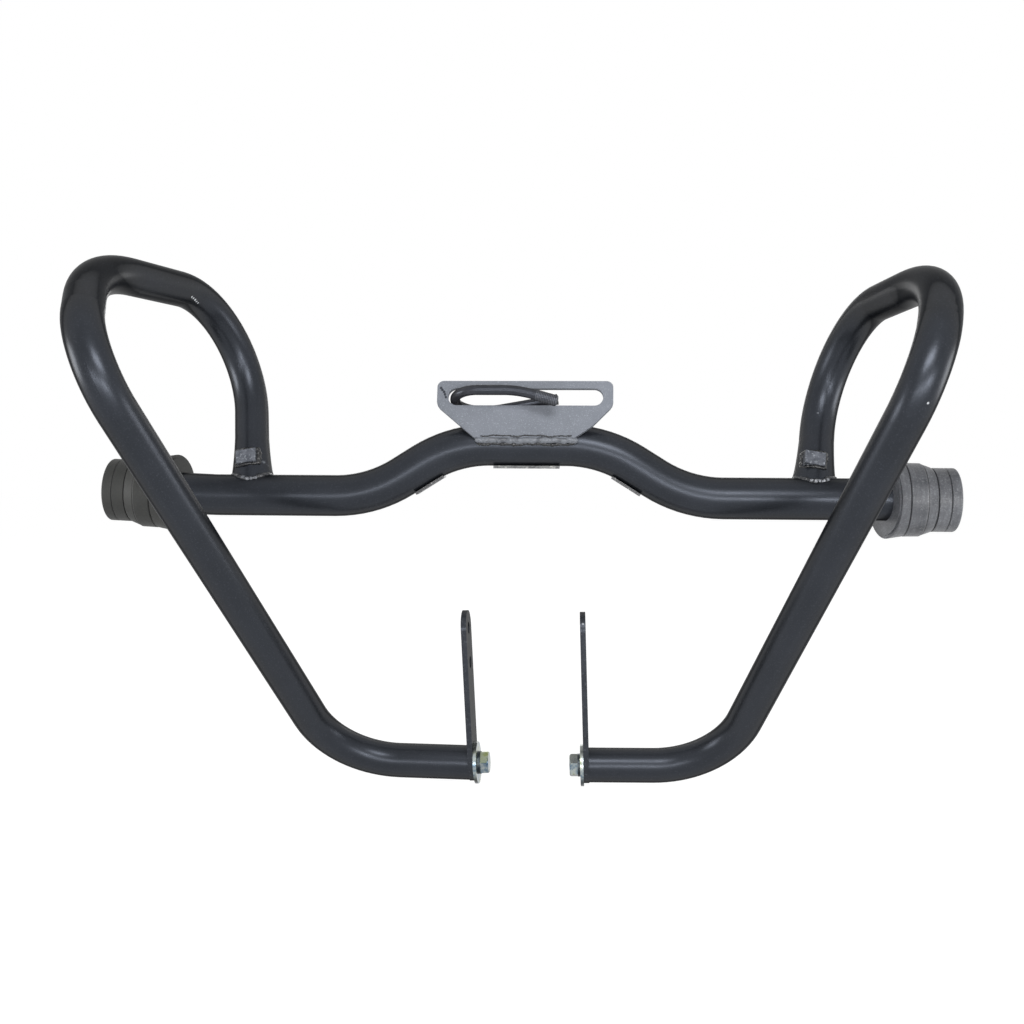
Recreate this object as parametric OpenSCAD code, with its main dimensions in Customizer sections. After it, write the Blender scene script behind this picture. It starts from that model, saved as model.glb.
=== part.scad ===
// Crash bars of a motorcycle: an arched cross tube with rubber buffer rings at both ends,
// two bent side loops welded on it, a slotted clamp plate with its loose U bolt, and two
// flat brackets bolted to the lower ends of the loops.
// Frame in millimetres: X to the right, Y away from the viewer, Z up.
// The origin is the middle of the slot in the clamp plate, where the bars hang on the frame.
// Sideways sizes and heights are measured from the middle of the cross tube's straight axis.

/* [Cross tube] */
// outside diameter of the cross tube
cross_od = 38.1; // [32:0.1:45]
// wall of both tube sizes
tube_wall = 2; // [1.5:0.1:3]
// height of the arch above the straight ends
arch_rise = 47.5; // [30:0.5:60]
// half length between the upper arch corners
arch_top_x = 68; // [50:1:80]
// half length between the lower arch corners
arch_foot_x = 144; // [120:1:170]
// bend radius of the upper arch corners
arch_top_bend = 117; // [90:1:120]
// bend radius of the lower arch corners
arch_foot_bend = 118; // [90:1:140]
// where the left end starts to rise, inwards from the ring stack
left_kink_in = 37.5; // [30:0.5:44]
// upward angle of the left tube end, drawn up by its welds
left_end_rise = 2.5; // [0:0.1:4]

/* [Side loops] */
// outside diameter of the loop tubes
loop_od = 31.8; // [25.4:0.1:34]
// where the left loop meets the cross tube, inwards from the ring stack
left_base_in = 71.5; // [66:0.5:80]
// left loop, rear upper corner, outwards from its foot
left_rear_out = 30; // [20:1:44]
// left loop, rear upper corner, backwards
left_rear_y = 106; // [80:1:120]
// left loop, rear upper corner, height
left_rear_z = 185; // [170:1:200]
// left loop, front upper corner, outwards from its foot
left_front_out = 90; // [80:1:104]
// left loop, front upper corner, forwards
left_front_y = 142; // [130:1:160]
// left loop, front upper corner, height
left_front_z = 190; // [180:1:205]
// left loop, foremost corner, outwards from its foot
left_nose_out = 54; // [44:1:68]
// left loop, foremost corner, forwards
left_nose_y = 247; // [235:1:265]
// left loop, foremost corner, height
left_nose_z = 117; // [100:1:130]
// where the right loop meets the cross tube, inwards from the ring stack
right_base_in = 63.5; // [58:0.5:76]
// right loop, rear upper corner, outwards from its foot
right_rear_out = 28; // [20:1:44]
// right loop, rear upper corner, backwards
right_rear_y = 106; // [80:1:120]
// right loop, rear upper corner, height
right_rear_z = 163; // [160:1:200]
// right loop, front upper corner, outwards from its foot
right_front_out = 71; // [62:1:92]
// right loop, front upper corner, forwards
right_front_y = 133; // [130:1:150]
// right loop, front upper corner, height
right_front_z = 184; // [175:1:200]
// right loop, foremost corner, outwards from its foot
right_nose_out = 39; // [30:1:56]
// right loop, foremost corner, forwards
right_nose_y = 220; // [216:1:250]
// right loop, foremost corner, height
right_nose_z = 109; // [95:1:125]
// lower corner of both loops, sideways
foot_x = 180; // [165:1:195]
// lower corner of both loops, backwards
foot_y = 6; // [0:1:12]
// height of the lower arms, negative below the cross tube
foot_z = -249; // [-270:1:-230]
// bend radius of the rear upper corner
rear_bend = 80; // [60:1:84]
// bend radius of the front upper corner
front_bend = 130; // [90:1:134]
// bend radius of the foremost corner
nose_bend = 60; // [50:1:62]
// bend radius of the lower corner
foot_bend = 80; // [60:1:95]
// end of the left lower arm from the middle
left_end_x = 52.5; // [45:0.1:65]
// end of the right lower arm from the middle
right_end_x = 58.3; // [45:0.1:65]

/* [Buffer rings] */
// inner face of the right ring stack from the middle
right_stack_x = 321.5; // [315:0.5:330]
// inner face of the left ring stack from the middle
left_stack_x = 327.5; // [318:0.5:330]
// outside diameter of the big ring
ring_a_od = 73; // [66:1:80]
// outside diameter of the second ring
ring_b_od = 66; // [60:1:70]
// outside diameter of the three outer rings
ring_c_od = 57.5; // [50:0.5:60]
// thickness of the big ring at its middle
ring_a_t = 15.5; // [12:0.5:18]
// slant of the big ring's inner face, its thin side to the front
ring_a_slant = 10; // [0:1:12]
// thickness of the second ring
ring_b_t = 15; // [10:0.5:18]
// thickness of the third ring
ring_c_t = 10; // [6:0.5:14]
// thickness of the fourth ring
ring_d_t = 11; // [6:0.5:14]
// thickness of the outermost ring
ring_e_t = 9.5; // [6:0.5:14]
// gap all round between a ring and the tube
ring_gap = 0.1; // [0.05:0.05:0.3]
// rounding of the ring edges
ring_edge = 1.6; // [0.5:0.1:2.5]

/* [Clamp plate] */
// length of the plate
plate_w = 159; // [140:1:180]
// height of the plate
plate_h = 53; // [50:1:70]
// thickness of the plate
plate_t = 5; // [3:0.5:8]
// middle of the plate from the middle of the arch
plate_x = -2.5; // [-10:0.5:10]
// backward lean of the plate
plate_lean = 16; // [5:1:25]
// straight length of the plate's lower edge
plate_foot_w = 90; // [70:1:110]
// height at which the side edges start
plate_shoulder = 32; // [28:1:40]
// low corner of the right side edge, outwards from the lower edge
plate_elbow_x = 16; // [10:1:20]
// height of that low corner
plate_elbow_z = 11; // [8:1:14]
// radius of the plate's upper corners
plate_corner = 6; // [2:1:8]
// width of the slot
slot_w = 16; // [10:0.5:17]
// width of the plate left at each end of the slot
slot_side = 9.5; // [7:0.5:16]
// middle of the slot above the plate's lower edge
slot_up = 38; // [36:0.5:42]
// middle of the slot from the middle of the plate
slot_shift = 0.5; // [-3:0.5:3]

/* [U bolt] */
// rod of the U bolt
ubolt_d = 9; // [6:0.5:10]
// radius of the bend, to the middle of the rod
ubolt_bend = 22; // [18:0.5:30]
// length of each leg along its middle line
ubolt_leg = 71.5; // [50:0.5:80]
// straight run of the front leg before it droops, to the corner
ubolt_front_run = 36; // [28:1:40]
// straight run of the rear leg before it rises, to the corner
ubolt_rear_run = 11; // [10:1:20]
// droop of the front leg's end
ubolt_droop = 17; // [0:1:20]
// rise of the rear leg's end
ubolt_rise = 11; // [0:1:14]
// radius of the slight bends in the legs
ubolt_leg_bend = 90; // [60:5:90]
// upward tilt of its front leg
ubolt_tilt = 23; // [10:1:35]
// gap between the bend and the left end of the slot
ubolt_end_gap = 1.8; // [1.5:0.1:4]
// gap under the rod where it rests in the slot
ubolt_rest_gap = 0.3; // [0.2:0.1:1]
// diameter over the thread of the legs
ubolt_thread_d = 10; // [7:0.5:11]
// length of the thread
ubolt_thread_len = 19; // [10:1:20]

/* [Brackets and bolts] */
// width of the bracket bar
bracket_w = 33; // [30:1:45]
// thickness of the bracket bar
bracket_t = 5; // [3:0.5:8]
// reach of the bracket above its bolt
bracket_up = 143.5; // [120:0.5:170]
// diameter of the two upper bracket holes
bracket_hole = 11; // [8:0.5:13]
// distance between the two upper bracket holes
bracket_pitch = 32; // [25:1:50]
// outward lean of the left bracket
left_lean = 3; // [0:0.1:5]
// inward lean of the right bracket
right_lean = 1.9; // [0:0.1:5]
// turn of the left bracket's face towards the front
left_turn = 2.7; // [0:0.1:5]
// turn of the right bracket's face towards the front
right_turn = -0.5; // [-3:0.1:5]
// turn of the left bolt's head
left_head_turn = 18; // [0:1:59]
// turn of the right bolt's head
right_head_turn = 5; // [0:1:59]
// thread size of the bolts
bolt_d = 12; // [10:1:14]
// gap all round between a bolt and the bore it goes in
bolt_gap = 0.15; // [0.05:0.05:0.3]
// width across the flats of the bolt heads
bolt_flats = 19; // [17:1:22]
// height of the bolt heads
bolt_head_t = 7.5; // [6:0.5:9]
// length of the bolts under the head
bolt_len = 30; // [25:1:40]
// outside diameter of the flat washers
washer_od = 38.5; // [24:0.5:40]
// thickness of the flat washers
washer_t = 3; // [1.5:0.5:4]
// outside diameter of the spring washers
spring_od = 21; // [18:0.5:24]
// thickness of the spring washers
spring_t = 2.5; // [2:0.5:4]

/* [Welded details] */
// length of the step blocks on the loop bases
block_w = 18.5; // [16:0.5:26]
// height of the step blocks
block_h = 13.5; // [10:0.5:20]
// lower edge of the step blocks above the cross tube
block_up = 6; // [5:0.5:14]
// shift of the right step block towards the middle
right_block_in = 4.5; // [0:0.5:5]
// reach of the step blocks in front of the loop tube
block_reach = 3.5; // [2:0.5:6]
// radius of the weld beads
bead_r = 4.5; // [3:0.5:6]
// thickness of the flat pads under the arch
pad_t = 2.5; // [2:0.5:4]
// depth of the flat pads under the arch
pad_w = 18; // [12:1:24]

/* [Hidden] */
$fn = 64;
cross_r = cross_od / 2;
loop_r = loop_od / 2;
loop_id = loop_od - 2 * tube_wall;
cross_id = cross_od - 2 * tube_wall;
stack_t = ring_a_t + ring_b_t + ring_c_t + ring_d_t + ring_e_t;
cap_t = 2.5;
bend_lap = 0.5;
bend_thin = 0.03;
cap_gap = 0.05;
insert_len = 28;
weld_reach = 1.5 * loop_od;
weld_wide = 3.6;
weld_low = 2.2;
weld_thin = 1.7;
weld_tall = 5;
right_tube_x = right_stack_x + stack_t - cap_t;
left_tube_x = left_stack_x + stack_t - cap_t;
left_kink_x = left_stack_x - left_kink_in;
left_run = left_tube_x - left_kink_x;
left_base_x = left_stack_x - left_base_in;
right_base_x = right_stack_x - right_base_in;
slot_len = plate_w - 2 * slot_side;

// Place of the plate in the frame of the cross tube: against its front, a little over its axis
plate_back = -cross_r - plate_t + 0.3;
plate_drop = 0.5;

// Middle of the slot from the middle of the cross tube's straight axis, and the reverse
slot_mid = [
    plate_x + slot_shift,
    (plate_back + plate_t / 2) * cos(plate_lean) + (plate_drop + slot_up) * sin(plate_lean),
    arch_rise - (plate_back + plate_t / 2) * sin(plate_lean) + (plate_drop + slot_up) * cos(plate_lean)
];
tube_mid = -slot_mid;

function from_mid(points) = [for (p = points) tube_mid + p];

cross_points = from_mid([
    [-left_kink_x - left_run * cos(left_end_rise), 0, left_run * sin(left_end_rise)],
    [-left_kink_x, 0, 0],
    [-arch_foot_x, 0, 0],
    [-arch_top_x, 0, arch_rise],
    [arch_top_x, 0, arch_rise],
    [arch_foot_x, 0, 0],
    [right_tube_x, 0, 0]
]);
cross_bends = [0, 200, arch_foot_bend, arch_top_bend, arch_top_bend, arch_foot_bend, 0];

left_points = from_mid([
    [-left_base_x, 0, 0],
    [-left_base_x - left_rear_out, left_rear_y, left_rear_z],
    [-left_base_x - left_front_out, -left_front_y, left_front_z],
    [-left_base_x - left_nose_out, -left_nose_y, left_nose_z],
    [-foot_x, foot_y, foot_z],
    [-left_end_x + 6, 0, foot_z]
]);
right_points = from_mid([
    [right_base_x, 0, 0],
    [right_base_x + right_rear_out, right_rear_y, right_rear_z],
    [right_base_x + right_front_out, -right_front_y, right_front_z],
    [right_base_x + right_nose_out, -right_nose_y, right_nose_z],
    [foot_x, foot_y, foot_z],
    [right_end_x - 6, 0, foot_z]
]);
loop_bends = [0, rear_bend, front_bend, nose_bend, foot_bend, 0];

// The U bolt's middle line from the rear leg's end round the bend to the front leg's end
ubolt_side = ubolt_bend + 0.3;
ubolt_rear_end = ubolt_leg - ubolt_rear_run;
ubolt_front_end = ubolt_leg - ubolt_front_run;
ubolt_rest = (slot_w - ubolt_d) / 2 - ubolt_rest_gap;
ubolt_off = min(0, ubolt_end_gap + (ubolt_d - slot_w) / 2);
ubolt_mid = [
    -slot_len / 2 + ubolt_end_gap + ubolt_d / 2 + ubolt_bend,
    0,
    -sqrt(max(0, ubolt_rest * ubolt_rest - ubolt_off * ubolt_off)) * cos(plate_lean)
];
function in_ubolt(x, y, z) = ubolt_mid + [
    x,
    y * cos(ubolt_tilt) + z * sin(ubolt_tilt),
    z * cos(ubolt_tilt) - y * sin(ubolt_tilt)
];
ubolt_points = [
    in_ubolt(ubolt_rear_run + ubolt_rear_end * cos(ubolt_rise), ubolt_side, ubolt_rear_end * sin(ubolt_rise)),
    in_ubolt(ubolt_rear_run, ubolt_side, 0),
    in_ubolt(-ubolt_bend, ubolt_side, 0),
    in_ubolt(-ubolt_bend, -ubolt_side, 0),
    in_ubolt(ubolt_front_run, -ubolt_side, 0),
    in_ubolt(ubolt_front_run + ubolt_front_end * cos(ubolt_droop), -ubolt_side,
        -ubolt_front_end * sin(ubolt_droop))
];
ubolt_bends = [0, ubolt_leg_bend, ubolt_bend, ubolt_bend, ubolt_leg_bend, 0];

// Route helpers

function unit(v) = v / norm(v);
function dir_in(p, i) = unit(p[i] - p[i - 1]);
function dir_out(p, i) = unit(p[i + 1] - p[i]);
function turn(p, i) = acos(dir_in(p, i) * dir_out(p, i));
function trim(p, b, i) = (i == 0 || i == len(p) - 1) ? 0 : b[i] * tan(turn(p, i) / 2);
function side_of(w) = abs(w[1]) < 0.9 ? unit(cross([0, 1, 0], w)) : unit(cross([1, 0, 0], w));

// Places Z along the run from point a in the direction w
module along(a, w) {
    s = side_of(w);
    t = cross(w, s);
    multmatrix([
        [s[0], t[0], w[0], a[0]],
        [s[1], t[1], w[1], a[1]],
        [s[2], t[2], w[2], a[2]],
        [0, 0, 0, 1]
    ]) children();
}

// Places a bend with its start on X and its turn towards Y
module at_bend(p, b, i) {
    u = dir_in(p, i);
    w = dir_out(p, i);
    n = unit(w - u * (u * w));
    c = p[i] - u * trim(p, b, i) + n * b[i];
    z = cross(-n, u);
    multmatrix([
        [-n[0], u[0], z[0], c[0]],
        [-n[1], u[1], z[1], c[1]],
        [-n[2], u[2], z[2], c[2]],
        [0, 0, 0, 1]
    ]) children();
}

module section(ro, ri) {
    difference() {
        circle(r = ro);
        if (ri > 0) circle(r = ri);
    }
}

// A straight run of tube reaches a little way into the bends next to it
module straight(p, b, i, ro, ri) {
    w = dir_out(p, i);
    before = i == 0 ? 0 : bend_lap;
    after = i + 2 == len(p) ? 0 : bend_lap;
    a = p[i] + w * (trim(p, b, i) - before);
    h = norm(p[i + 1] - p[i]) - trim(p, b, i) - trim(p, b, i + 1) + before + after;
    along(a, w) linear_extrude(height = h) section(ro, ri);
}

// The wall thins by a hair in a bend
module bend(p, b, i, ro, ri) {
    at_bend(p, b, i)
        rotate_extrude(angle = turn(p, i))
            translate([b[i], 0]) section(ro - bend_thin, ri > 0 ? ri + bend_thin : 0);
}

// Cross tube

module cross_tube() {
    color("#232428") union() {
        for (i = [0 : 5]) straight(cross_points, cross_bends, i, cross_r, cross_id / 2);
        for (i = [1 : 5]) bend(cross_points, cross_bends, i, cross_r, cross_id / 2);
    }
}

// Solid rod in the place of the cross tube's arch, for coping what sits on it
module arch_rod() {
    straight(cross_points, cross_bends, 3, cross_r, 0);
    bend(cross_points, cross_bends, 3, cross_r, 0);
    bend(cross_points, cross_bends, 4, cross_r, 0);
}

// Solid rod along the straight parts under the loops
module side_rod(r) {
    reach = max(left_base_x, right_base_x) + 2 * loop_od;
    translate(tube_mid) rotate([0, 90, 0]) translate([0, 0, -reach]) cylinder(h = 2 * reach, r = r);
}

// Frames of the two ring stacks: X runs outwards from the inner face of the big ring
module left_stack() {
    translate(tube_mid + [-left_kink_x, 0, 0])
        rotate([0, left_end_rise, 0])
            translate([-(left_stack_x - left_kink_x), 0, 0])
                mirror([1, 0, 0]) children();
}

module right_stack() {
    translate(tube_mid + [right_stack_x, 0, 0]) children();
}

module end_cap() {
    color("#18191b") rotate([0, 90, 0]) difference() {
        union() {
            translate([0, 0, stack_t - cap_t + cap_gap]) cylinder(h = cap_t - cap_gap, r = cross_r);
            translate([0, 0, stack_t - cap_t - 12]) cylinder(h = 13, r = cross_id / 2 - 0.1);
        }
        translate([0, 0, stack_t - cap_t - 13]) cylinder(h = 12, r = cross_id / 2 - 2.6);
    }
}

module left_end_cap() {
    left_stack() end_cap();
}

module right_end_cap() {
    right_stack() end_cap();
}

// Buffer rings

// Section of a ring with rounded rims, X is the radius
module rim_section(ri, ro, t, e) {
    union() {
        translate([ri, 0]) square([ro - e - ri, t]);
        translate([ri, e]) square([ro - ri, t - 2 * e]);
        translate([ro - e, e]) circle(r = e);
        translate([ro - e, t - e]) circle(r = e);
    }
}

module buffer_ring(x, od, t, e) {
    color("#2b2c2e") translate([x, 0, 0]) rotate([0, 90, 0])
        rotate_extrude() rim_section(cross_r + ring_gap, od / 2, t, e);
}

// The big ring is slightly conical, with a slanted inner face that is stepped back at its rim
module ring_a() {
    slope = (ring_a_od - ring_b_od) / 2 / ring_a_t;
    lead = ring_a_od * tan(ring_a_slant) / 2 + 2;
    color("#2b2c2e") difference() {
        rotate([0, 90, 0]) rotate_extrude() polygon([
            [cross_r + ring_gap, -lead],
            [ring_a_od / 2 + slope * 2, -lead],
            [ring_b_od / 2 + slope, ring_a_t - 1],
            [ring_b_od / 2 - 0.8, ring_a_t],
            [cross_r + ring_gap, ring_a_t]
        ]);
        rotate([0, 0, ring_a_slant]) {
            translate([-ring_a_od, -ring_a_od, -ring_a_od]) cube([ring_a_od, 2 * ring_a_od, 2 * ring_a_od]);
            rotate([0, 90, 0]) rotate_extrude()
                translate([ring_a_od / 2 - 4.5, -2]) square([10, 3.2]);
        }
    }
}

// The second ring is a plain cylinder with softened rims
module ring_b() {
    color("#2b2c2e") translate([ring_a_t, 0, 0]) rotate([0, 90, 0])
        rotate_extrude() polygon([
            [cross_r + ring_gap, 0],
            [ring_b_od / 2 - 0.5, 0],
            [ring_b_od / 2 + 0.2, 0.8],
            [ring_b_od / 2, ring_b_t - 1],
            [ring_b_od / 2 - 0.8, ring_b_t],
            [cross_r + ring_gap, ring_b_t]
        ]);
}

// The third ring leads down to the outer ones
module ring_c() {
    color("#2b2c2e") translate([ring_a_t + ring_b_t, 0, 0]) rotate([0, 90, 0])
        rotate_extrude() polygon([
            [cross_r + ring_gap, 0],
            [ring_b_od / 2 - 1.2, 0],
            [ring_b_od / 2 - 0.9, 0.8],
            [ring_c_od / 2 + 0.6, ring_c_t - 1.6],
            [ring_c_od / 2 - 0.3, ring_c_t - 0.6],
            [ring_c_od / 2 - 0.8, ring_c_t],
            [cross_r + ring_gap, ring_c_t]
        ]);
}

module ring_d() {
    buffer_ring(ring_a_t + ring_b_t + ring_c_t, ring_c_od, ring_d_t, 0.7);
}

module ring_e() {
    buffer_ring(stack_t - ring_e_t, ring_c_od, ring_e_t, ring_edge);
}

module left_buffer_ring_a() {
    left_stack() ring_a();
}

module left_buffer_ring_b() {
    left_stack() ring_b();
}

module left_buffer_ring_c() {
    left_stack() ring_c();
}

module left_buffer_ring_d() {
    left_stack() ring_d();
}

module left_buffer_ring_e() {
    left_stack() ring_e();
}

module right_buffer_ring_a() {
    right_stack() ring_a();
}

module right_buffer_ring_b() {
    right_stack() ring_b();
}

module right_buffer_ring_c() {
    right_stack() ring_c();
}

module right_buffer_ring_d() {
    right_stack() ring_d();
}

module right_buffer_ring_e() {
    right_stack() ring_e();
}

// Frames of the two lower tube ends: X runs out of the tube, Z up the bracket
module left_end() {
    translate(tube_mid + [-left_end_x, 0, foot_z])
        rotate([0, -left_lean, -left_turn]) children();
}

module right_end() {
    translate(tube_mid + [right_end_x, 0, foot_z])
        mirror([1, 0, 0]) rotate([0, right_lean, -right_turn]) children();
}

// What lies beyond the cut face of a lower tube end
module beyond() {
    translate([0, -loop_od, -loop_od]) cube([2 * loop_od, 2 * loop_od, 2 * loop_od]);
}

module loop_tube(p) {
    union() {
        for (i = [0 : 4]) straight(p, loop_bends, i, loop_r, loop_id / 2);
        for (i = [1 : 4]) bend(p, loop_bends, i, loop_r, loop_id / 2);
    }
}

module left_loop_tube() {
    color("#232428") difference() {
        loop_tube(left_points);
        side_rod(cross_r);
        left_end() beyond();
    }
}

module right_loop_tube() {
    color("#232428") difference() {
        loop_tube(right_points);
        side_rod(cross_r);
        right_end() beyond();
    }
}

// The upper side of the cross tube round the foot of a loop
module weld_side(p) {
    translate(p[0] + [-weld_reach, -weld_reach, 4]) cube([2 * weld_reach, 2 * weld_reach, weld_reach]);
}

// Fillet weld round the foot of a loop: two steps that follow the saddle
module loop_weld(p) {
    color("#1e1f22") difference() {
        union() {
            intersection() {
                along(p[0], dir_out(p, 0)) cylinder(h = weld_reach, r = loop_r + weld_wide);
                weld_side(p);
                side_rod(cross_r + weld_low);
            }
            intersection() {
                along(p[0], dir_out(p, 0)) cylinder(h = weld_reach, r = loop_r + weld_thin);
                weld_side(p);
                side_rod(cross_r + weld_tall);
            }
        }
        side_rod(cross_r);
        straight(p, loop_bends, 0, loop_r, 0);
    }
}

module left_loop_weld() {
    loop_weld(left_points);
}

module right_loop_weld() {
    loop_weld(right_points);
}

// Small flat step block welded on the front of a loop foot, above its weld
module step_block(p, dx) {
    color("#232428") difference() {
        along(p[0], dir_out(p, 0))
            translate([dx - block_w / 2, -loop_r - block_reach, cross_r + block_up])
                cube([block_w, loop_r, block_h]);
        straight(p, loop_bends, 0, loop_r, 0);
    }
}

module left_step_block() {
    step_block(left_points, 0);
}

module right_step_block() {
    step_block(right_points, -right_block_in);
}

// Clamp plate: Z runs up the plate from its lower edge, Y through it
module plate_frame() {
    translate(tube_mid + [plate_x, 0, arch_rise])
        rotate([-plate_lean, 0, 0])
            translate([0, plate_back, plate_drop]) children();
}

module plate_outline() {
    union() {
        polygon([
            [-plate_foot_w / 2, 0],
            [plate_foot_w / 2, 0],
            [plate_foot_w / 2 + plate_elbow_x, plate_elbow_z],
            [plate_w / 2 - 3, plate_shoulder - 5],
            [plate_w / 2 - 0.8, plate_shoulder - 2],
            [plate_w / 2, plate_shoulder + 1],
            [plate_w / 2, plate_h - plate_corner],
            [-plate_w / 2, plate_h - plate_corner],
            [-plate_w / 2, plate_shoulder + 1],
            [-plate_w / 2 + 0.7, plate_shoulder - 2],
            [-plate_w / 2 + 2.6, plate_shoulder - 4.6]
        ]);
        translate([-plate_w / 2 + plate_corner, plate_h - plate_corner - 1])
            square([plate_w - 2 * plate_corner, plate_corner + 1]);
        translate([-plate_w / 2 + plate_corner, plate_h - plate_corner]) circle(r = plate_corner);
        translate([plate_w / 2 - plate_corner, plate_h - plate_corner]) circle(r = plate_corner);
    }
}

module slot_outline() {
    translate([slot_shift, slot_up]) union() {
        square([slot_len - slot_w, slot_w], center = true);
        translate([-(slot_len - slot_w) / 2, 0]) circle(d = slot_w);
        translate([(slot_len - slot_w) / 2, 0]) circle(d = slot_w);
    }
}

module clamp_plate() {
    color("#56585c") difference() {
        plate_frame() translate([0, plate_t, 0]) rotate([90, 0, 0])
            linear_extrude(height = plate_t) difference() {
                plate_outline();
                slot_outline();
            }
        arch_rod();
    }
}

// Weld bead along the lower edge of the plate
module clamp_plate_weld() {
    color("#1e1f22") difference() {
        plate_frame() translate([0, plate_t - 1.5, 0]) rotate([0, 90, 0])
            translate([0, 0, -plate_foot_w / 2 + 2]) cylinder(h = plate_foot_w, r = bead_r);
        arch_rod();
        plate_frame() translate([-plate_w / 2, 0, 0]) cube([plate_w, plate_t + 10, 20]);
    }
}

// U bolt hanging in the slot, its bend round the left of the slot's lower edge
module u_bolt() {
    thread_in = ubolt_thread_len * dir_out(ubolt_points, 4);
    color("#2e2f31") union() {
        for (i = [0 : 4]) straight(ubolt_points, ubolt_bends, i, ubolt_d / 2, 0);
        for (i = [1 : 4]) bend(ubolt_points, ubolt_bends, i, ubolt_d / 2, 0);
        along(ubolt_points[5] - thread_in, dir_out(ubolt_points, 4))
            cylinder(h = ubolt_thread_len, d = ubolt_thread_d);
        along(ubolt_points[0], dir_out(ubolt_points, 0))
            cylinder(h = ubolt_thread_len, d = ubolt_thread_d);
    }
}

// Flat pads welded under the arch
module arch_pad(x0, x1, z) {
    color("#8d8f91") difference() {
        translate(tube_mid + [x0, -pad_w / 2, z - pad_t]) cube([x1 - x0, pad_w, pad_t]);
        arch_rod();
    }
}

module middle_arch_pad() {
    arch_pad(-31, 29, arch_rise - cross_r + 0.4);
}

// Pad under the left slope of the arch, about the middle of the cross tube
module slope_pad() {
    slope = atan(arch_rise / (arch_foot_x - arch_top_x));
    translate([-arch_foot_x, 0, 0]) rotate([0, -slope, 0])
        translate([37, -pad_w / 2, -cross_r - pad_t + 0.4]) cube([30, pad_w, pad_t]);
}

module left_arch_pad() {
    color("#8d8f91") difference() {
        translate(tube_mid) slope_pad();
        straight(cross_points, cross_bends, 2, cross_r, 0);
        bend(cross_points, cross_bends, 3, cross_r, 0);
    }
}

module right_arch_pad() {
    color("#8d8f91") difference() {
        translate(tube_mid) mirror([1, 0, 0]) slope_pad();
        straight(cross_points, cross_bends, 4, cross_r, 0);
        bend(cross_points, cross_bends, 4, cross_r, 0);
    }
}

// Lower ends

module insert_plug(p) {
    w = dir_out(p, 4);
    along(p[5] - w * insert_len, w) cylinder(h = insert_len + 2, r = loop_id / 2 - 0.1);
}

module insert_bore() {
    rotate([0, 90, 0]) translate([0, 0, -2 * insert_len])
        cylinder(h = 4 * insert_len, d = bolt_d + 2 * bolt_gap);
}

module left_threaded_insert() {
    color("#6d6f72") difference() {
        insert_plug(left_points);
        left_end() beyond();
        left_end() insert_bore();
    }
}

module right_threaded_insert() {
    color("#6d6f72") difference() {
        insert_plug(right_points);
        right_end() beyond();
        right_end() insert_bore();
    }
}

module bracket() {
    top = bracket_up - bracket_w / 2;
    color("#26272a") rotate([90, 0, 90]) linear_extrude(height = bracket_t) difference() {
        union() {
            translate([-bracket_w / 2, 0]) square([bracket_w, top]);
            circle(d = bracket_w);
            translate([0, top]) circle(d = bracket_w);
        }
        circle(d = bolt_d + 1);
        translate([0, top]) circle(d = bracket_hole);
        translate([0, top - bracket_pitch]) circle(d = bracket_hole);
    }
}

module left_bracket() {
    left_end() bracket();
}

module right_bracket() {
    right_end() bracket();
}

module washer(x, od, id, t) {
    translate([x, 0, 0]) rotate([0, 90, 0]) linear_extrude(height = t) section(od / 2, id / 2);
}

module left_flat_washer() {
    color("#b9bdc0") left_end() washer(bracket_t, washer_od, bolt_d + 1, washer_t);
}

module right_flat_washer() {
    color("#b9bdc0") right_end() washer(bracket_t, washer_od, bolt_d + 1, washer_t);
}

// Split ring of square wire
module spring_washer() {
    translate([bracket_t + washer_t, 0, 0]) difference() {
        washer(0, spring_od, bolt_d + 0.4, spring_t);
        rotate([20, 0, 0]) translate([-1, 0, -0.6]) cube([spring_t + 2, spring_od, 1.2]);
    }
}

module left_spring_washer() {
    color("#9da2a8") left_end() spring_washer();
}

module right_spring_washer() {
    color("#9da2a8") right_end() spring_washer();
}

module bolt(head_turn) {
    under = bracket_t + washer_t + spring_t;
    color("#c3c6c4") rotate([0, 90, 0]) union() {
        translate([0, 0, under - bolt_len]) cylinder(h = bolt_len + 1, d = bolt_d);
        intersection() {
            translate([0, 0, under]) rotate([0, 0, head_turn])
                cylinder(h = bolt_head_t, d = bolt_flats / cos(30), $fn = 6);
            translate([0, 0, under - 1])
                cylinder(h = bolt_head_t + 1, r1 = bolt_flats, r2 = bolt_flats / 2 - 0.3);
        }
    }
}

module left_bolt() {
    left_end() bolt(left_head_turn);
}

module right_bolt() {
    right_end() bolt(right_head_turn);
}

cross_tube();
left_end_cap();
right_end_cap();
left_loop_tube();
right_loop_tube();
left_loop_weld();
right_loop_weld();
left_step_block();
right_step_block();
clamp_plate();
clamp_plate_weld();
u_bolt();
left_arch_pad();
middle_arch_pad();
right_arch_pad();
left_buffer_ring_a();
left_buffer_ring_b();
left_buffer_ring_c();
left_buffer_ring_d();
left_buffer_ring_e();
right_buffer_ring_a();
right_buffer_ring_b();
right_buffer_ring_c();
right_buffer_ring_d();
right_buffer_ring_e();
left_threaded_insert();
right_threaded_insert();
left_bracket();
right_bracket();
left_flat_washer();
right_flat_washer();
left_spring_washer();
right_spring_washer();
left_bolt();
right_bolt();
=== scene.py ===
import math
import random

import bpy
from mathutils import Matrix, Vector


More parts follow.
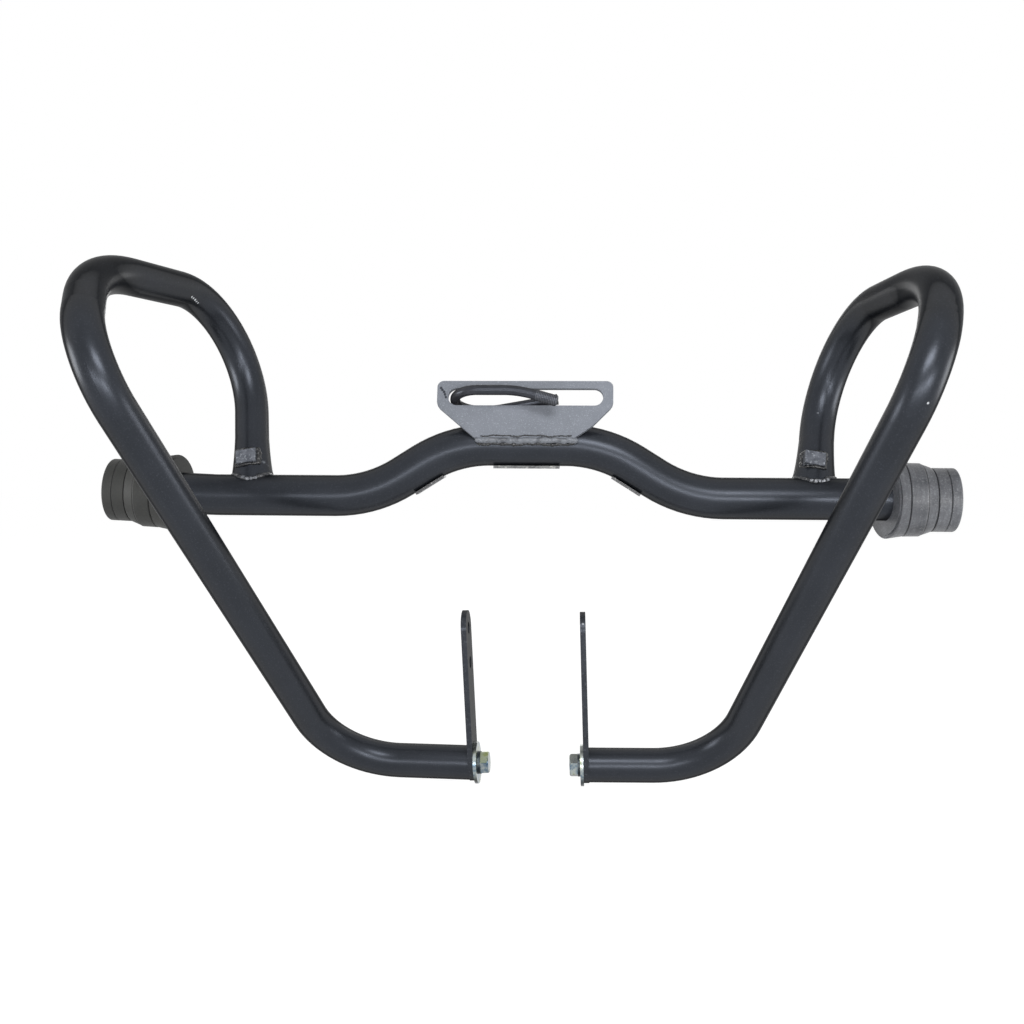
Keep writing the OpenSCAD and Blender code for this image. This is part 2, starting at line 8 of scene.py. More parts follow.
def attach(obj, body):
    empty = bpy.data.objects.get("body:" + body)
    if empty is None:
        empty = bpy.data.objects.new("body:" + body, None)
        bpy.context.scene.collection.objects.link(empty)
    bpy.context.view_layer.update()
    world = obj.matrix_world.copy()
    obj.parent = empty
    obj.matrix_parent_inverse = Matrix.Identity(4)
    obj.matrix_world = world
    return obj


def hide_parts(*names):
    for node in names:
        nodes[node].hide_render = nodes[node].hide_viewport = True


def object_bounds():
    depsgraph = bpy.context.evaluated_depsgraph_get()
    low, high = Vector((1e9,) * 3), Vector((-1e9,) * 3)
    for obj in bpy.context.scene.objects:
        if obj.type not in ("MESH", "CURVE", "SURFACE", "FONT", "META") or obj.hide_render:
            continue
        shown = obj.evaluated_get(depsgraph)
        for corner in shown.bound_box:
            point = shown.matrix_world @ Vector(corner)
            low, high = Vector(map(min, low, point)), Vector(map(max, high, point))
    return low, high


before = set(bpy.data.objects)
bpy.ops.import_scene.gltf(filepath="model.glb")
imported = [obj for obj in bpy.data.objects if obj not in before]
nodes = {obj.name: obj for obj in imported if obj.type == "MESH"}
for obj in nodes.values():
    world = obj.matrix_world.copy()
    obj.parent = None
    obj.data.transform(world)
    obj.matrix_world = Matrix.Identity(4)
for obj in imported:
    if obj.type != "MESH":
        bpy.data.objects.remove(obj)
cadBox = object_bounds()
print("frame loaded,", len(nodes), "solids")


# Small tools

def mm(*values):
    scaled = [v / 1000 for v in values]
    return scaled[0] if len(scaled) == 1 else Vector(scaled)


def hexColour(code):
    parts = [int(code[i:i + 2], 16) / 255 for i in (1, 3, 5)]
    return [c / 12.92 if c <= 0.04045 else ((c + 0.055) / 1.055) ** 2.4 for c in parts] + [1.0]


def addNode(tree, kind, settings=None, links=None):
    node = tree.nodes.new(kind)
    for name, value in (settings or {}).items():
        if isinstance(name, str) and hasattr(node, name):
            setattr(node, name, value)
        else:
            node.inputs[name].default_value = value
    for name, source in (links or {}).items():
        tree.links.new(source, node.inputs[name])
    return node


def newMaterial(name):
    material = bpy.data.materials.new(name)
    material.use_nodes = True
    tree = material.node_tree
    tree.nodes.clear()
    output = addNode(tree, "ShaderNodeOutputMaterial")
    shader = addNode(tree, "ShaderNodeBsdfPrincipled")
    tree.links.new(shader.outputs["BSDF"], output.inputs["Surface"])
    place = addNode(tree, "ShaderNodeTexCoord").outputs["Object"]
    return material, tree, shader, place


def ramp(tree, source, stops):
    node = addNode(tree, "ShaderNodeValToRGB", links={"Fac": source})
    elements = node.color_ramp.elements
    while len(elements) < len(stops):
        elements.new(0.5)
    for element, (position, colour) in zip(elements, stops):
        element.position = position
        element.color = hexColour(colour)
    return node.outputs["Color"]


def mixColours(tree, factor, first, second):
    node = addNode(tree, "ShaderNodeMix", {"data_type": "RGBA"}, {0: factor})
    for socket, colour in ((6, first), (7, second)):
        if isinstance(colour, str):
            node.inputs[socket].default_value = hexColour(colour)
        else:
            tree.links.new(colour, node.inputs[socket])
    return node.outputs[2]


raggedSize = 1.6  # mm, the ragged edge of a mark


def addMarks(tree, place, tone, marks):
    if not marks:
        return tone
    ragged = addNode(tree, "ShaderNodeTexNoise", {"Scale": 1000 / raggedSize, "Detail": 2.0}, {"Vector": place})
    for point, size, colour in marks:
        away = addNode(tree, "ShaderNodeVectorMath", {"operation": "DISTANCE", 1: tubeMiddle + mm(*point)},
                       {0: place})
        edge = addNode(tree, "ShaderNodeMath", {"operation": "MULTIPLY_ADD", 1: mm(size)},
                       {0: ragged.outputs["Fac"], 2: away.outputs["Value"]})
        spot = addNode(tree, "ShaderNodeMapRange",
                       {"From Min": mm(size), "From Max": mm(1.4 * size), "To Min": 1.0, "To Max": 0.0},
                       {"Value": edge.outputs["Value"]})
        tone = mixColours(tree, spot.outputs["Result"], tone, colour)
    return tone


# Materials

tubeMiddle = mm(2, 9.815, -90.366)  # middle of the cross tube's straight axis

coat = {
    "dark": "#121417",
    "light": "#191b1f",
    "fleck": "#292b30",
    "sheen": "#dde6f8",  # the satin gloss is a little blue
    "gloss": 0.46,
    "rimGloss": 0.01,  # the sides of a tube stay dark
    "roughness": (0.28, 0.35),
    "cloudSize": 45,  # mm, slow change of tone where the powder lies thicker
    "grainSize": 1.3,  # mm, coarser than the real 0.3 mm so that it shows
    "bump": 0.07,
    "marks": [],
    "rim": (0.25, 0.62),  # how far from facing the eye the gloss starts and ends to fade
}


def powderCoat(name, look):
    material, tree, shader, place = newMaterial(name)  # satin powder coat: soft broad gloss over fine grain
    cloud = addNode(tree, "ShaderNodeTexNoise",
                    {"Scale": 1000 / look["cloudSize"], "Detail": 3.0, "Roughness": 0.55}, {"Vector": place})
    grain = addNode(tree, "ShaderNodeTexNoise",
                    {"Scale": 1000 / look["grainSize"], "Detail": 2.0, "Roughness": 0.6}, {"Vector": place})
    tone = ramp(tree, cloud.outputs["Fac"], [(0.35, look["dark"]), (0.68, look["light"])])
    flecks = ramp(tree, grain.outputs["Fac"], [(0.56, "#000000"), (0.74, "#ffffff")])
    tone = mixColours(tree, flecks, tone, look["fleck"])
    tone = addMarks(tree, place, tone, look["marks"])
    gloss = addNode(tree, "ShaderNodeMapRange",
                    {"To Min": look["roughness"][0], "To Max": look["roughness"][1]},
                    {"Value": cloud.outputs["Fac"]})
    bump = addNode(tree, "ShaderNodeBump", {"Strength": look["bump"], "Distance": mm(0.2)},
                   {"Height": grain.outputs["Fac"]})
    tree.links.new(tone, shader.inputs["Base Color"])
    tree.links.new(gloss.outputs["Result"], shader.inputs["Roughness"])
    tree.links.new(bump.outputs["Normal"], shader.inputs["Normal"])
    facing = addNode(tree, "ShaderNodeLayerWeight", {"Blend": 0.5})
    level = addNode(tree, "ShaderNodeMapRange",
                    {"From Min": look["rim"][0], "From Max": look["rim"][1],
                     "To Min": look["gloss"], "To Max": look["rimGloss"]},
                    {"Value": facing.outputs["Facing"]})
    tree.links.new(level.outputs["Result"], shader.inputs["Specular IOR Level"])
    shader.inputs["Specular Tint"].default_value = hexColour(look["sheen"])
    return material


weldLook = {
    "dark": "#15161a",
    "light": "#34373d",
    "pale": "#8b8f96",
    "roughness": 0.34,
    "patchSize": 5,  # mm, size of the patches between the ripples: darker hollows as painted shade, pale crests partly bare and partly painted glints
    "palest": 0.62,  # how much of it is pale, partly bare and partly painted glint: lower is more
    "marks": [],
}


def ripplingWeld(name, look):
    material, tree, shader, place = newMaterial(name)  # coated weld: painted shade in the hollows of the ripples, and pale crests that are partly rubbed bare and partly painted glints
    patch = addNode(tree, "ShaderNodeTexNoise",
                    {"Scale": 1000 / look["patchSize"], "Detail": 5.0, "Roughness": 0.65, "Distortion": 0.6},
                    {"Vector": place})
    tone = ramp(tree, patch.outputs["Fac"],
                [(0.36, look["dark"]), (0.52, look["light"]), (look["palest"], look["light"]),
                 (look["palest"] + 0.08, look["pale"])])
    tone = addMarks(tree, place, tone, look["marks"])
    bump = addNode(tree, "ShaderNodeBump", {"Strength": 0.5, "Distance": mm(0.4)}, {"Height": patch.outputs["Fac"]})
    tree.links.new(tone, shader.inputs["Base Color"])
    tree.links.new(bump.outputs["Normal"], shader.inputs["Normal"])
    shader.inputs["Roughness"].default_value = look["roughness"]
    return material


rubber = {
    "dark": "#1a1b1a",
    "light": "#262726",
    "dust": "#3a3a35",
    "jointShade": "#141414",
    "roughness": 0.6,
    "grainSize": 1.6,  # mm, coarser than the real dust so that it shows
    "cloudSize": 22,
    "bump": 0.35,
    "streak": "#23241f",
    "start": (-327.5, 0, 0),  # mm, the stack's inner face on the tube's axis
    "turn": 180 + 2.5,  # degrees about Y to the stack's outward way, as the left end is bent up
    "joints": (15.5, 30.5, 40.5, 51.5),  # mm outwards, where two rings meet
    "jointWide": 0.9,
    "length": 61,  # mm, the whole stack
    "ringSize": 2.2,  # mm between the fine rings that the mould leaves
}


def mouldedRubber(name, look):
    material, tree, shader, place = newMaterial(name)  # moulded rubber: dull, with pale dust in its grain
    cloud = addNode(tree, "ShaderNodeTexNoise",
                    {"Scale": 1000 / look["cloudSize"], "Detail": 4.0, "Roughness": 0.6}, {"Vector": place})
    grain = addNode(tree, "ShaderNodeTexNoise",
                    {"Scale": 1000 / look["grainSize"], "Detail": 3.0, "Roughness": 0.65}, {"Vector": place})
    tone = ramp(tree, cloud.outputs["Fac"], [(0.3, look["dark"]), (0.7, look["light"])])
    dusty = ramp(tree, grain.outputs["Fac"], [(0.5, "#000000"), (0.8, "#b0b0b0")])
    tone = mixColours(tree, dusty, tone, look["dust"])
    # the mould leaves fine rings round the outside
    stretched = addNode(tree, "ShaderNodeMapping", {"Scale": (1.0, 0.1, 0.1)}, {"Vector": place})
    streak = addNode(tree, "ShaderNodeTexNoise", {"Scale": 1000 / look["ringSize"], "Detail": 2.0},
                     {"Vector": stretched.outputs["Vector"]})
    rings = ramp(tree, streak.outputs["Fac"], [(0.42, "#909090"), (0.6, "#000000")])
    tone = mixColours(tree, rings, tone, look["streak"])
    # painted shade in the joints between the rings
    outwards = Matrix.Rotation(math.radians(look["turn"]), 3, "Y") @ Vector((1, 0, 0))
    local = addNode(tree, "ShaderNodeVectorMath", {"operation": "SUBTRACT", 1: tubeMiddle + mm(*look["start"])},
                    {0: place})
    along = addNode(tree, "ShaderNodeVectorMath", {"operation": "DOT_PRODUCT", 1: outwards},
                    {0: local.outputs["Vector"]})
    share = addNode(tree, "ShaderNodeMapRange", {"From Min": 0.0, "From Max": mm(look["length"])},
                    {"Value": along.outputs["Value"]})
    stops = [(0.0, "#000000")]
    for joint in look["joints"]:
        for offset, colour in ((-look["jointWide"], "#000000"), (0, "#ffffff"), (look["jointWide"], "#000000")):
            stops.append(((joint + offset) / look["length"], colour))
    joints = ramp(tree, share.outputs["Result"], stops)
    tone = mixColours(tree, joints, tone, look["jointShade"])
    bump = addNode(tree, "ShaderNodeBump", {"Strength": look["bump"], "Distance": mm(0.3)},
                   {"Height": grain.outputs["Fac"]})
    tree.links.new(tone, shader.inputs["Base Color"])
    tree.links.new(bump.outputs["Normal"], shader.inputs["Normal"])
    shader.inputs["Roughness"].default_value = look["roughness"]
    return material


zinc = {
    "stops": [(0.34, "#4d6377"), (0.45, "#78868f"), (0.56, "#a3a9a6"), (0.66, "#7a8160")],
    "roughness": (0.2, 0.36),
    "cloudSize": 9,  # mm, blue and yellow film of the zinc's passivation
    "under": "#24282b",  # painted shade on what faces down
    "upper": "#8f9390",  # painted light on what faces up, in the film's colour
    "paintedShadeLightShare": 0.85,
}


def brightMetal(name, look):
    material, tree, shader, place = newMaterial(name)  # zinc plated steel: bright, with a cloudy coloured film, and painted shade and light by which way each face turns
    cloud = addNode(tree, "ShaderNodeTexNoise",
                    {"Scale": 1000 / look["cloudSize"], "Detail": 4.0, "Roughness": 0.6}, {"Vector": place})
    tone = ramp(tree, cloud.outputs["Fac"], look["stops"])
    # painted shade on faces turned down, painted light on faces turned up
    facing = addNode(tree, "ShaderNodeVectorMath", {"operation": "DOT_PRODUCT", 1: (0, 0, 1)},
                     {0: place.node.outputs["Normal"]})
    for low, high, colour in ((-0.25, -0.6, look["under"]), (0.5, 0.8, look["upper"])):
        share = addNode(tree, "ShaderNodeMapRange", {"From Min": low, "From Max": high, "To Max": look["paintedShadeLightShare"]},
                        {"Value": facing.outputs["Value"]})
        tone = mixColours(tree, share.outputs["Result"], tone, colour)
    gloss = addNode(tree, "ShaderNodeMapRange",
                    {"To Min": look["roughness"][0], "To Max": look["roughness"][1]},
                    {"Value": cloud.outputs["Fac"]})
    tree.links.new(tone, shader.inputs["Base Color"])
    tree.links.new(gloss.outputs["Result"], shader.inputs["Roughness"])
    shader.inputs["Metallic"].default_value = 1.0
    return material


def dress(names, material):
    for name in names:
        slots = nodes[name].data.materials
        slots.clear()
        slots.append(material)


tubeMarksAndGlints = [  # place from the tube's middle and size in mm, and colour
    ((-302.9, -22.7, 179.7), 1.3, "#c3c6ca"),
    ((-302.6, -19.4, 178.8), 1.3, "#c3c6ca"),
    ((-302.3, -16.1, 177.8), 1.5, "#d0d3d6"),
    ((-302.0, -13.0, 176.7), 1.3, "#c3c6ca"),
    ((-301.8, -9.9, 175.7), 1.2, "#a9acb0"),
    ((293.7, -216.6, 81.2), 1.3, "#b9bcc0"),
    ((267.2, 30.6, 78.1), 1.0, "#777a80"),
    # painted glints: these pale spots at the left foot stand in for highlights on the weld there
    ((-247.5, 5.5, 29.6), 3.0, "#74787e"),
    ((-245.3, 7.6, 26.8), 3.0, "#8e9298"),
    ((-252.2, 9.2, 41.6), 2.0, "#888c92"),
]
# dark curved scratch beside the slot
scratch = [(-78.7, -10.0, 98.9), (-77.3, -10.5, 97.2), (-75.9, -11.0, 95.3), (-74.9, -11.6, 93.0),
           (-73.9, -12.3, 90.7)]
plateMarks = [(point, 1.7, "#2a2c30") for point in scratch]

# black satin coat on tube: long soft bands of light
tubeCoat = powderCoat("satinPowderCoatedSteel", {**coat, "marks": tubeMarksAndGlints})
# grey textured coat on flat plate: dull, with a fine sparkle
plateCoat = powderCoat("texturedCoatedPlate", {**coat, "dark": "#72767d", "light": "#7d8189", "fleck": "#959aa1",
                                                "grainSize": 1.1, "bump": 0.4, "roughness": (0.6, 0.7),
                                                "gloss": 0.3, "rimGloss": 0.3, "marks": plateMarks})
# black coat on rough flat bar, rubbed: almost black with grey worn spots
bracketCoat = powderCoat("wornCoatedBar", {**coat, "dark": "#121315", "light": "#202225", "fleck": "#3c3e42",
                                           "cloudSize": 12, "bump": 0.5, "grainSize": 2.4,
                                           "marks": [((51.5, -14.5, -114.4), 1.3, "#9fa2a6")]})
# thin coat on small cut blocks: pale bare specks and a wet shine
blockCoat = powderCoat("coatedBlock", {**coat, "dark": "#43464c", "light": "#6b6e75", "fleck": "#a2a6ad",
                                       "grainSize": 2.2, "cloudSize": 8, "bump": 0.4, "gloss": 0.8,
                                       "roughness": (0.36, 0.46)})
# glints on the crests of the foot welds
footMarks = [((x, y, z), 2.2, "#9b9ea4") for x, y, z in (
    (254.7, -11.1, 17.7), (258.0, -12.3, 16.9), (261.7, -11.5, 17.8), (265.3, -11.1, 16.9), (269.4, -8.6, 17.7),
    (264.6, -5.5, 22.9), (268.4, -4.4, 22.0))]
footMarks += [((x, y, z), 2.6, "#6d7076") for x, y, z in (
    (-261.6, -11.2, 18.0), (-257.3, -13.1, 16.3), (-253.7, -12.8, 16.3), (-250.4, -11.2, 17.2))]

footWeld = ripplingWeld("coatedFootWeld", {**weldLook, "light": "#24262b", "palest": 0.66, "marks": footMarks})
# weld round the step block, painted near black: painted shade round the block's edges, an uneven black line
blockWeldShade = ripplingWeld("blockWeldPaintedShade", {**weldLook, "dark": "#0a0b0c", "light": "#15161a", "palest": 0.68,
                                             "patchSize": 3.5})
# weld in the colour of its plate: pale soft ripples between black edges, which are painted shade
plateWeld = ripplingWeld("coatedPlateWeld", {**weldLook, "dark": "#4a4d53", "light": "#6e7279", "pale": "#8f939b",
                                             "patchSize": 9, "palest": 0.6, "roughness": 0.45})
# near-black beads along the weld's two edges: painted shade at the weld's toes
toeShade = ripplingWeld("weldToePaintedShade", {**weldLook, "dark": "#0b0c0e", "light": "#16171a", "pale": "#34363b",
                                           "palest": 0.7})
# blackened rod with a rolled thread: warm black, and worn grey where it is threaded
rodCoat = powderCoat("blackenedRod", {**coat, "dark": "#1d1d20", "light": "#2d2d31", "cloudSize": 12})
threadSteel = powderCoat("wornThread", {**coat, "dark": "#46484c", "light": "#64666a", "fleck": "#85878a",
                                        "cloudSize": 5, "bump": 0.3})
# the right stack is painted lighter than the left one: partly dust, partly painted light, as it catches more light
rightRubber = {**rubber, "dark": "#3f4146", "light": "#6d6f74", "dust": "#adafb3", "jointShade": "#1c1d20",
               "streak": "#323438", "roughness": 0.42, "start": (321.5, 0, 0), "turn": 0}
ringRubber = {"left": mouldedRubber("darkMouldedRubber", rubber),
              "right": mouldedRubber("greyMouldedRubber", rightRubber)}
capPlastic = mouldedRubber("blackPlasticCap", {**rubber, "dark": "#1d1e20", "light": "#28292b",
                                               "dust": "#343537"})
# pads and hidden inserts of ground steel: broken pale line, half rubbed bare
middlePad = ripplingWeld("groundPadEdge", {**weldLook, "dark": "#38393a", "light": "#6a6b6b", "pale": "#9c9c98",
                                           "palest": 0.56, "patchSize": 5, "roughness": 0.5})
# like the zinc: painted shade on faces turned down and painted light on faces turned up
bareSteel = brightMetal("groundSteelEdge", {**zinc, "roughness": (0.45, 0.6), "cloudSize": 5,
                                            "stops": [(0.38, "#3e3e3f"), (0.5, "#5f5f5d"), (0.66, "#83827d")]})
rubbedPad = ripplingWeld("rubbedCoatedPad", {**weldLook, "dark": "#191a1d", "light": "#26272b", "pale": "#b4b4b2",
                                             "palest": 0.6, "patchSize": 4})
# zinc plate on bolts and washers: bright, clouded blue and grey; on the left head the upward faces carry a yellow
# painted light
zincPlate = brightMetal("zincPlatedSteel", zinc)
# spring washers darker all over: painted shade in the gap between bolt head and flat washer, on a rougher zinc
shadedSpringZinc = brightMetal("zincSpringPaintedShade", {**zinc, "roughness": (0.35, 0.5), "upper": "#3b4044",
                                          "stops": [(0.36, "#2b3036"), (0.5, "#43494f"), (0.64, "#5d6262")]})
# left head: its upward faces take a yellow painted light
yellowZinc = brightMetal("zincYellowPaintedTop", {**zinc, "upper": "#8d9660"})

sides = ("left", "right")
dress(["cross_tube"] + [f"{s}_loop_tube" for s in sides], tubeCoat)
dress([f"{s}_step_block" for s in sides], blockCoat)
dress(["clamp_plate"], plateCoat)
dress([f"{s}_bracket" for s in sides], bracketCoat)
dress(["u_bolt"], rodCoat)
for side in sides:
    dress([f"{side}_buffer_ring_{c}" for c in "abcde"], ringRubber[side])
dress([f"{s}_end_cap" for s in sides], capPlastic)
dress(["middle_arch_pad"], middlePad)
dress([f"{s}_threaded_insert" for s in sides], bareSteel)
dress([f"{s}_arch_pad" for s in sides], rubbedPad)
dress(["right_bolt"] + [f"{s}_flat_washer" for s in sides], zincPlate)
dress(["left_bolt"], yellowZinc)
dress([f"{s}_spring_washer" for s in sides], shadedSpringZinc)
print("solids dressed")


# Modelling tools

def deselectAll():
    bpy.ops.object.select_all(action="DESELECT")


def applyModifier(piece, kind, settings):
    modifier = piece.modifiers.new("shape", kind)
    for name, value in settings.items():
        setattr(modifier, name, value)
    bpy.ops.object.modifier_apply(modifier=modifier.name)


def joinPieces(pieces, name):
    deselectAll()
    for piece in pieces:
        piece.select_set(True)
    bpy.context.view_layer.objects.active = pieces[0]
    bpy.ops.object.join()
    piece = bpy.context.object
    bpy.ops.object.transform_apply(location=True, rotation=True, scale=True)
    piece.name = name
    return piece


def beadOf(spots, look):
    # one lump is modelled and copied to each spot, and the lumps are fused
    deselectAll()
    bpy.ops.mesh.primitive_ico_sphere_add(subdivisions=2, radius=mm(1))
    lump = bpy.context.object
    bpy.ops.object.mode_set(mode="EDIT")
    bpy.ops.mesh.select_all(action="SELECT")
    bpy.ops.transform.resize(value=(1.0, 1.0, 0.85), center_override=(0, 0, 0))
    bpy.ops.object.mode_set(mode="OBJECT")
    lumps = []
    for place, size in spots:
        copy = lump.copy()
        copy.data = lump.data.copy()
        bpy.context.scene.collection.objects.link(copy)
        copy.location = place
        copy.scale = (size, size, size)
        lumps.append(copy)
    deselectAll()
    lump.select_set(True)
    bpy.ops.object.delete()
    bead = joinPieces(lumps, "bead")
    applyModifier(bead, "REMESH", {"mode": "VOXEL", "voxel_size": mm(look["voxel"]), "use_smooth_shade": True})
    applyModifier(bead, "SMOOTH", {"factor": 0.5, "iterations": look["smooth"]})
    grit = bpy.data.textures.new("weldRipple", "CLOUDS")
    grit.noise_scale = mm(look["rippleSize"])
    applyModifier(bead, "DISPLACE", {"texture": grit, "texture_coords": "GLOBAL", "strength": mm(look["ripple"]),
                                     "mid_level": 0.5})
    return bead


def ridePiece(piece, material, slot, *replaced):
    piece.data.materials.clear()
    piece.data.materials.append(material)
    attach(piece, "root")
    if replaced:
        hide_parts(*replaced)


# Foot welds: a drawn-out foot round each loop tube, and the bead where it meets the cross tube

feet = {
    "left": {"base": (-256, 0, 0), "way": (-30, 106, 185), "block": 0.0, "seed": 4},
    "right": {"base": (258, 0, 0), "way": (28, 106, 163), "block": -4.5, "seed": 9},
}
footShape = {
    "crossRadius": 19.05,
    "loopRadius": 15.9,
    # height along the loop tube, half width sideways and half width forwards
    "skirt": [(7, 20.6, 17.2), (19, 19.9, 17.1), (23, 18.9, 16.9), (29, 18.1, 16.7), (37, 17.3, 16.45),
              (48, 16.5, 16.15), (60, 15.95, 15.92), (62, 15.6, 15.6)],
    "beads": 40,
    "beadSize": (2.6, 3.9),
    "blockBeadSize": (1.5, 2.6),
    "block": (25.05, 38.55, 9.25),  # lower and upper edge along the loop tube, half width
    "blockEdge": (0.9, 0.7, 0.6, 0.4),  # how far the bead stands off above, below, to the right and to the left
    "topMore": 0.6,  # thicker bead above the block, for a wider painted shade there
    "leftMore": 1.3,  # and on the inner side of the left block, below the height that follows
    "leftTop": 36,
}
footBead = {"voxel": 0.8, "smooth": 2, "ripple": 1.1, "rippleSize": 3.2}
blockBead = {"voxel": 0.55, "smooth": 1, "ripple": 0.9, "rippleSize": 2.4}


def footFrame(foot):
    way = Vector(foot["way"]).normalized()
    side = Vector((0, 1, 0)).cross(way).normalized()
    return tubeMiddle + mm(*foot["base"]), side, way.cross(side), way


def addSkirt(shape, frameOf):
    deselectAll()
    start, side, deep, way = frameOf
    rows = shape["skirt"]
    bpy.ops.mesh.primitive_circle_add(vertices=72, radius=mm(1), fill_type="NGON", location=(0, 0, mm(rows[0][0])))
    skirt = bpy.context.object
    bpy.ops.object.transform_apply(location=True)
    bpy.ops.object.mode_set(mode="EDIT")
    bpy.ops.mesh.select_all(action="SELECT")
    bpy.ops.transform.resize(value=(rows[0][1], rows[0][2], 1), center_override=(0, 0, mm(rows[0][0])))
    for (low, wide, thick), (high, nextWide, nextThick) in zip(rows, rows[1:]):
        bpy.ops.mesh.extrude_region_move(TRANSFORM_OT_translate={"value": (0, 0, mm(high - low))})
        bpy.ops.transform.resize(value=(nextWide / wide, nextThick / thick, 1), center_override=(0, 0, mm(high)))
    bpy.ops.mesh.select_all(action="SELECT")
    bpy.ops.mesh.normals_make_consistent(inside=False)
    bpy.ops.object.mode_set(mode="OBJECT")
    bpy.ops.object.shade_smooth_by_angle(angle=math.radians(40))
    turned = Matrix((side, deep, way)).transposed().to_4x4()
    skirt.matrix_world = Matrix.Translation(start) @ turned
    bpy.ops.object.transform_apply(location=True, rotation=True, scale=True)
    return skirt


def addFootWeld(name, foot, shape):
    chance = random.Random(foot["seed"])
    start, side, deep, way = footFrame(foot)
    spots = []
    for i in range(shape["beads"]):
        angle = 2 * math.pi * i / shape["beads"]
        out = side * math.cos(angle) + deep * math.sin(angle)
        wide = shape["loopRadius"] + (1.9 if abs(math.cos(angle)) > 0.7 else 0.9)
        flat = Vector((0, *(start + out * mm(wide) - tubeMiddle).yz))
        slope = Vector((0, way.y, way.z))
        half = flat.dot(slope)
        room = half * half - slope.length_squared * (flat.length_squared - mm(shape["crossRadius"]) ** 2)
        rise = (math.sqrt(max(0, room)) - half) / slope.length_squared
        touch = start + out * mm(wide) + way * rise
        size = chance.uniform(*shape["beadSize"])
        spots.append((touch + mm(*[chance.uniform(-0.5, 0.5) for _ in range(3)]) - way * mm(0.8), size))
    bead = beadOf(spots, footBead)
    skirt = addSkirt(shape, (start, side, deep, way))
    ridePiece(skirt, tubeCoat, "powder_coated_tube")
    skirt.name = f"{name}_loop_foot"
    bead.name = f"{name}_foot_bead"
    ridePiece(bead, footWeld, "weld_bead", f"{name}_loop_weld")


def addBlockWeld(name, foot, shape):
    chance = random.Random(foot["seed"] + 1)
    start, side, deep, way = footFrame(foot)
    low, high, half = shape["block"]
    above, below, rightwards, leftwards = shape["blockEdge"]
    edge = []
    for i in range(13):
        across = foot["block"] - half + 2 * half * i / 12
        edge += [(across, high + above), (across, low - below)]
    for i in range(9):
        up = low + (high - low) * i / 8
        edge += [(foot["block"] + half + rightwards, up), (foot["block"] - half - leftwards, up)]
    spots = []
    for across, up in edge:
        size = chance.uniform(*shape["blockBeadSize"])
        if up > high:
            size += shape["topMore"]
        if name == "left" and across > half and up < shape["leftTop"]:
            size += shape["leftMore"]
        front = math.sqrt(max(9, (shape["loopRadius"] + 0.7) ** 2 - across ** 2))
        place = start + side * mm(across + chance.uniform(-0.4, 0.4)) - deep * mm(front)
        place += way * mm(up + chance.uniform(-0.7, 0.7))
        spots.append((place, size))
    bead = beadOf(spots, blockBead)
    bead.name = f"{name}_block_bead"
    ridePiece(bead, blockWeldShade, "weld_bead")


for side in sides:
    addFootWeld(side, feet[side], footShape)
    addBlockWeld(side, feet[side], footShape)
print("foot welds modelled")


# Weld along the plate's lower edge

plateShape = {
    "lean": 16,  # degrees backwards
    "corner": (-2.5, -23.75, 47.5),  # mm, the plate's front at the arch's height, before it leans
    "from": -42.0,
    "to": 45.5,
    "step": 1.8,
    "size": (3.2, 4.3),
    "inwards": (2.3, 3.4),  # mm behind the plate's front
    "rise": (-2.3, -0.9),  # mm above its corner
    "seed": 2,
}
plateBead = {"voxel": 0.8, "smooth": 8, "ripple": 1.1, "rippleSize": 6}
toeBead = {"voxel": 0.45, "smooth": 1, "ripple": 0.5, "rippleSize": 2}
plateToes = {  # the two wavy black edges of the bead, painted shade at its toes, in mm along, forwards and up in the plate's frame
    "upper": {"from": -39, "to": 42, "forwards": -23.7, "height": 2.0, "size": (0.7, 1.0)},
    "lower": {"from": -42, "to": 45, "forwards": -20.3, "height": -4.6, "size": (1.2, 2.0)},
}
toeWave = {"step": 0.9, "waves": ((0.4, 5.3, 0), (0.3, 2.3, 1)), "jitter": 0.25}  # each wave: height, length, start


def onPlate(shape, across, forwards, up):
    lean = Matrix.Rotation(math.radians(-shape["lean"]), 3, "X")
    corner = Vector((shape["corner"][0], 0, shape["corner"][2]))
    return tubeMiddle + mm(*(lean @ Vector((across, forwards, up)) + corner))


def addPlateWeld(shape):
    chance = random.Random(shape["seed"])
    spots = []
    across = shape["from"]
    while across < shape["to"]:
        forwards = shape["corner"][1] + chance.uniform(*shape["inwards"])
        place = onPlate(shape, across, forwards, 0.5 + chance.uniform(*shape["rise"]))
        spots.append((place, chance.uniform(*shape["size"])))
        across += shape["step"] * chance.uniform(0.8, 1.2)
    bead = beadOf(spots, plateBead)
    bead.name = "plate_bead"
    ridePiece(bead, plateWeld, "weld_bead", "clamp_plate_weld")
    for edge, toe in plateToes.items():
        spots = []
        across = toe["from"]
        while across < toe["to"]:
            wave = sum(high * math.sin(across / long + start) for high, long, start in toeWave["waves"])
            wave += chance.uniform(-toeWave["jitter"], toeWave["jitter"])
            place = onPlate(shape, across, toe["forwards"], toe["height"] + wave)
            spots.append((place, chance.uniform(*toe["size"])))
            across += toeWave["step"]
        line = beadOf(spots, toeBead)
        line.name = f"plate_bead_{edge}_toe"
        ridePiece(line, toeShade, "weld_bead")


addPlateWeld(plateShape)
print("plate weld modelled")


# Thread on the front leg of the U bolt: one turned ridge with a domed end

threadShape = {
    "end": (28.25, -24.58, -3.45),  # mm, middle of the leg's end face
    "way": (0.9563, -0.1142, -0.2691),
    "radius": 5.0,
    "crest": 0.28,  # mm outside the rod
    "root": 0.5,  # mm inside it, so that no gap shows
    "halfRidge": 0.66,
    "dome": (0.2, 0.3),  # mm less than the rod, and its height as a share of its radius
    "pitch": 1.5,
    "turns": 12,
}


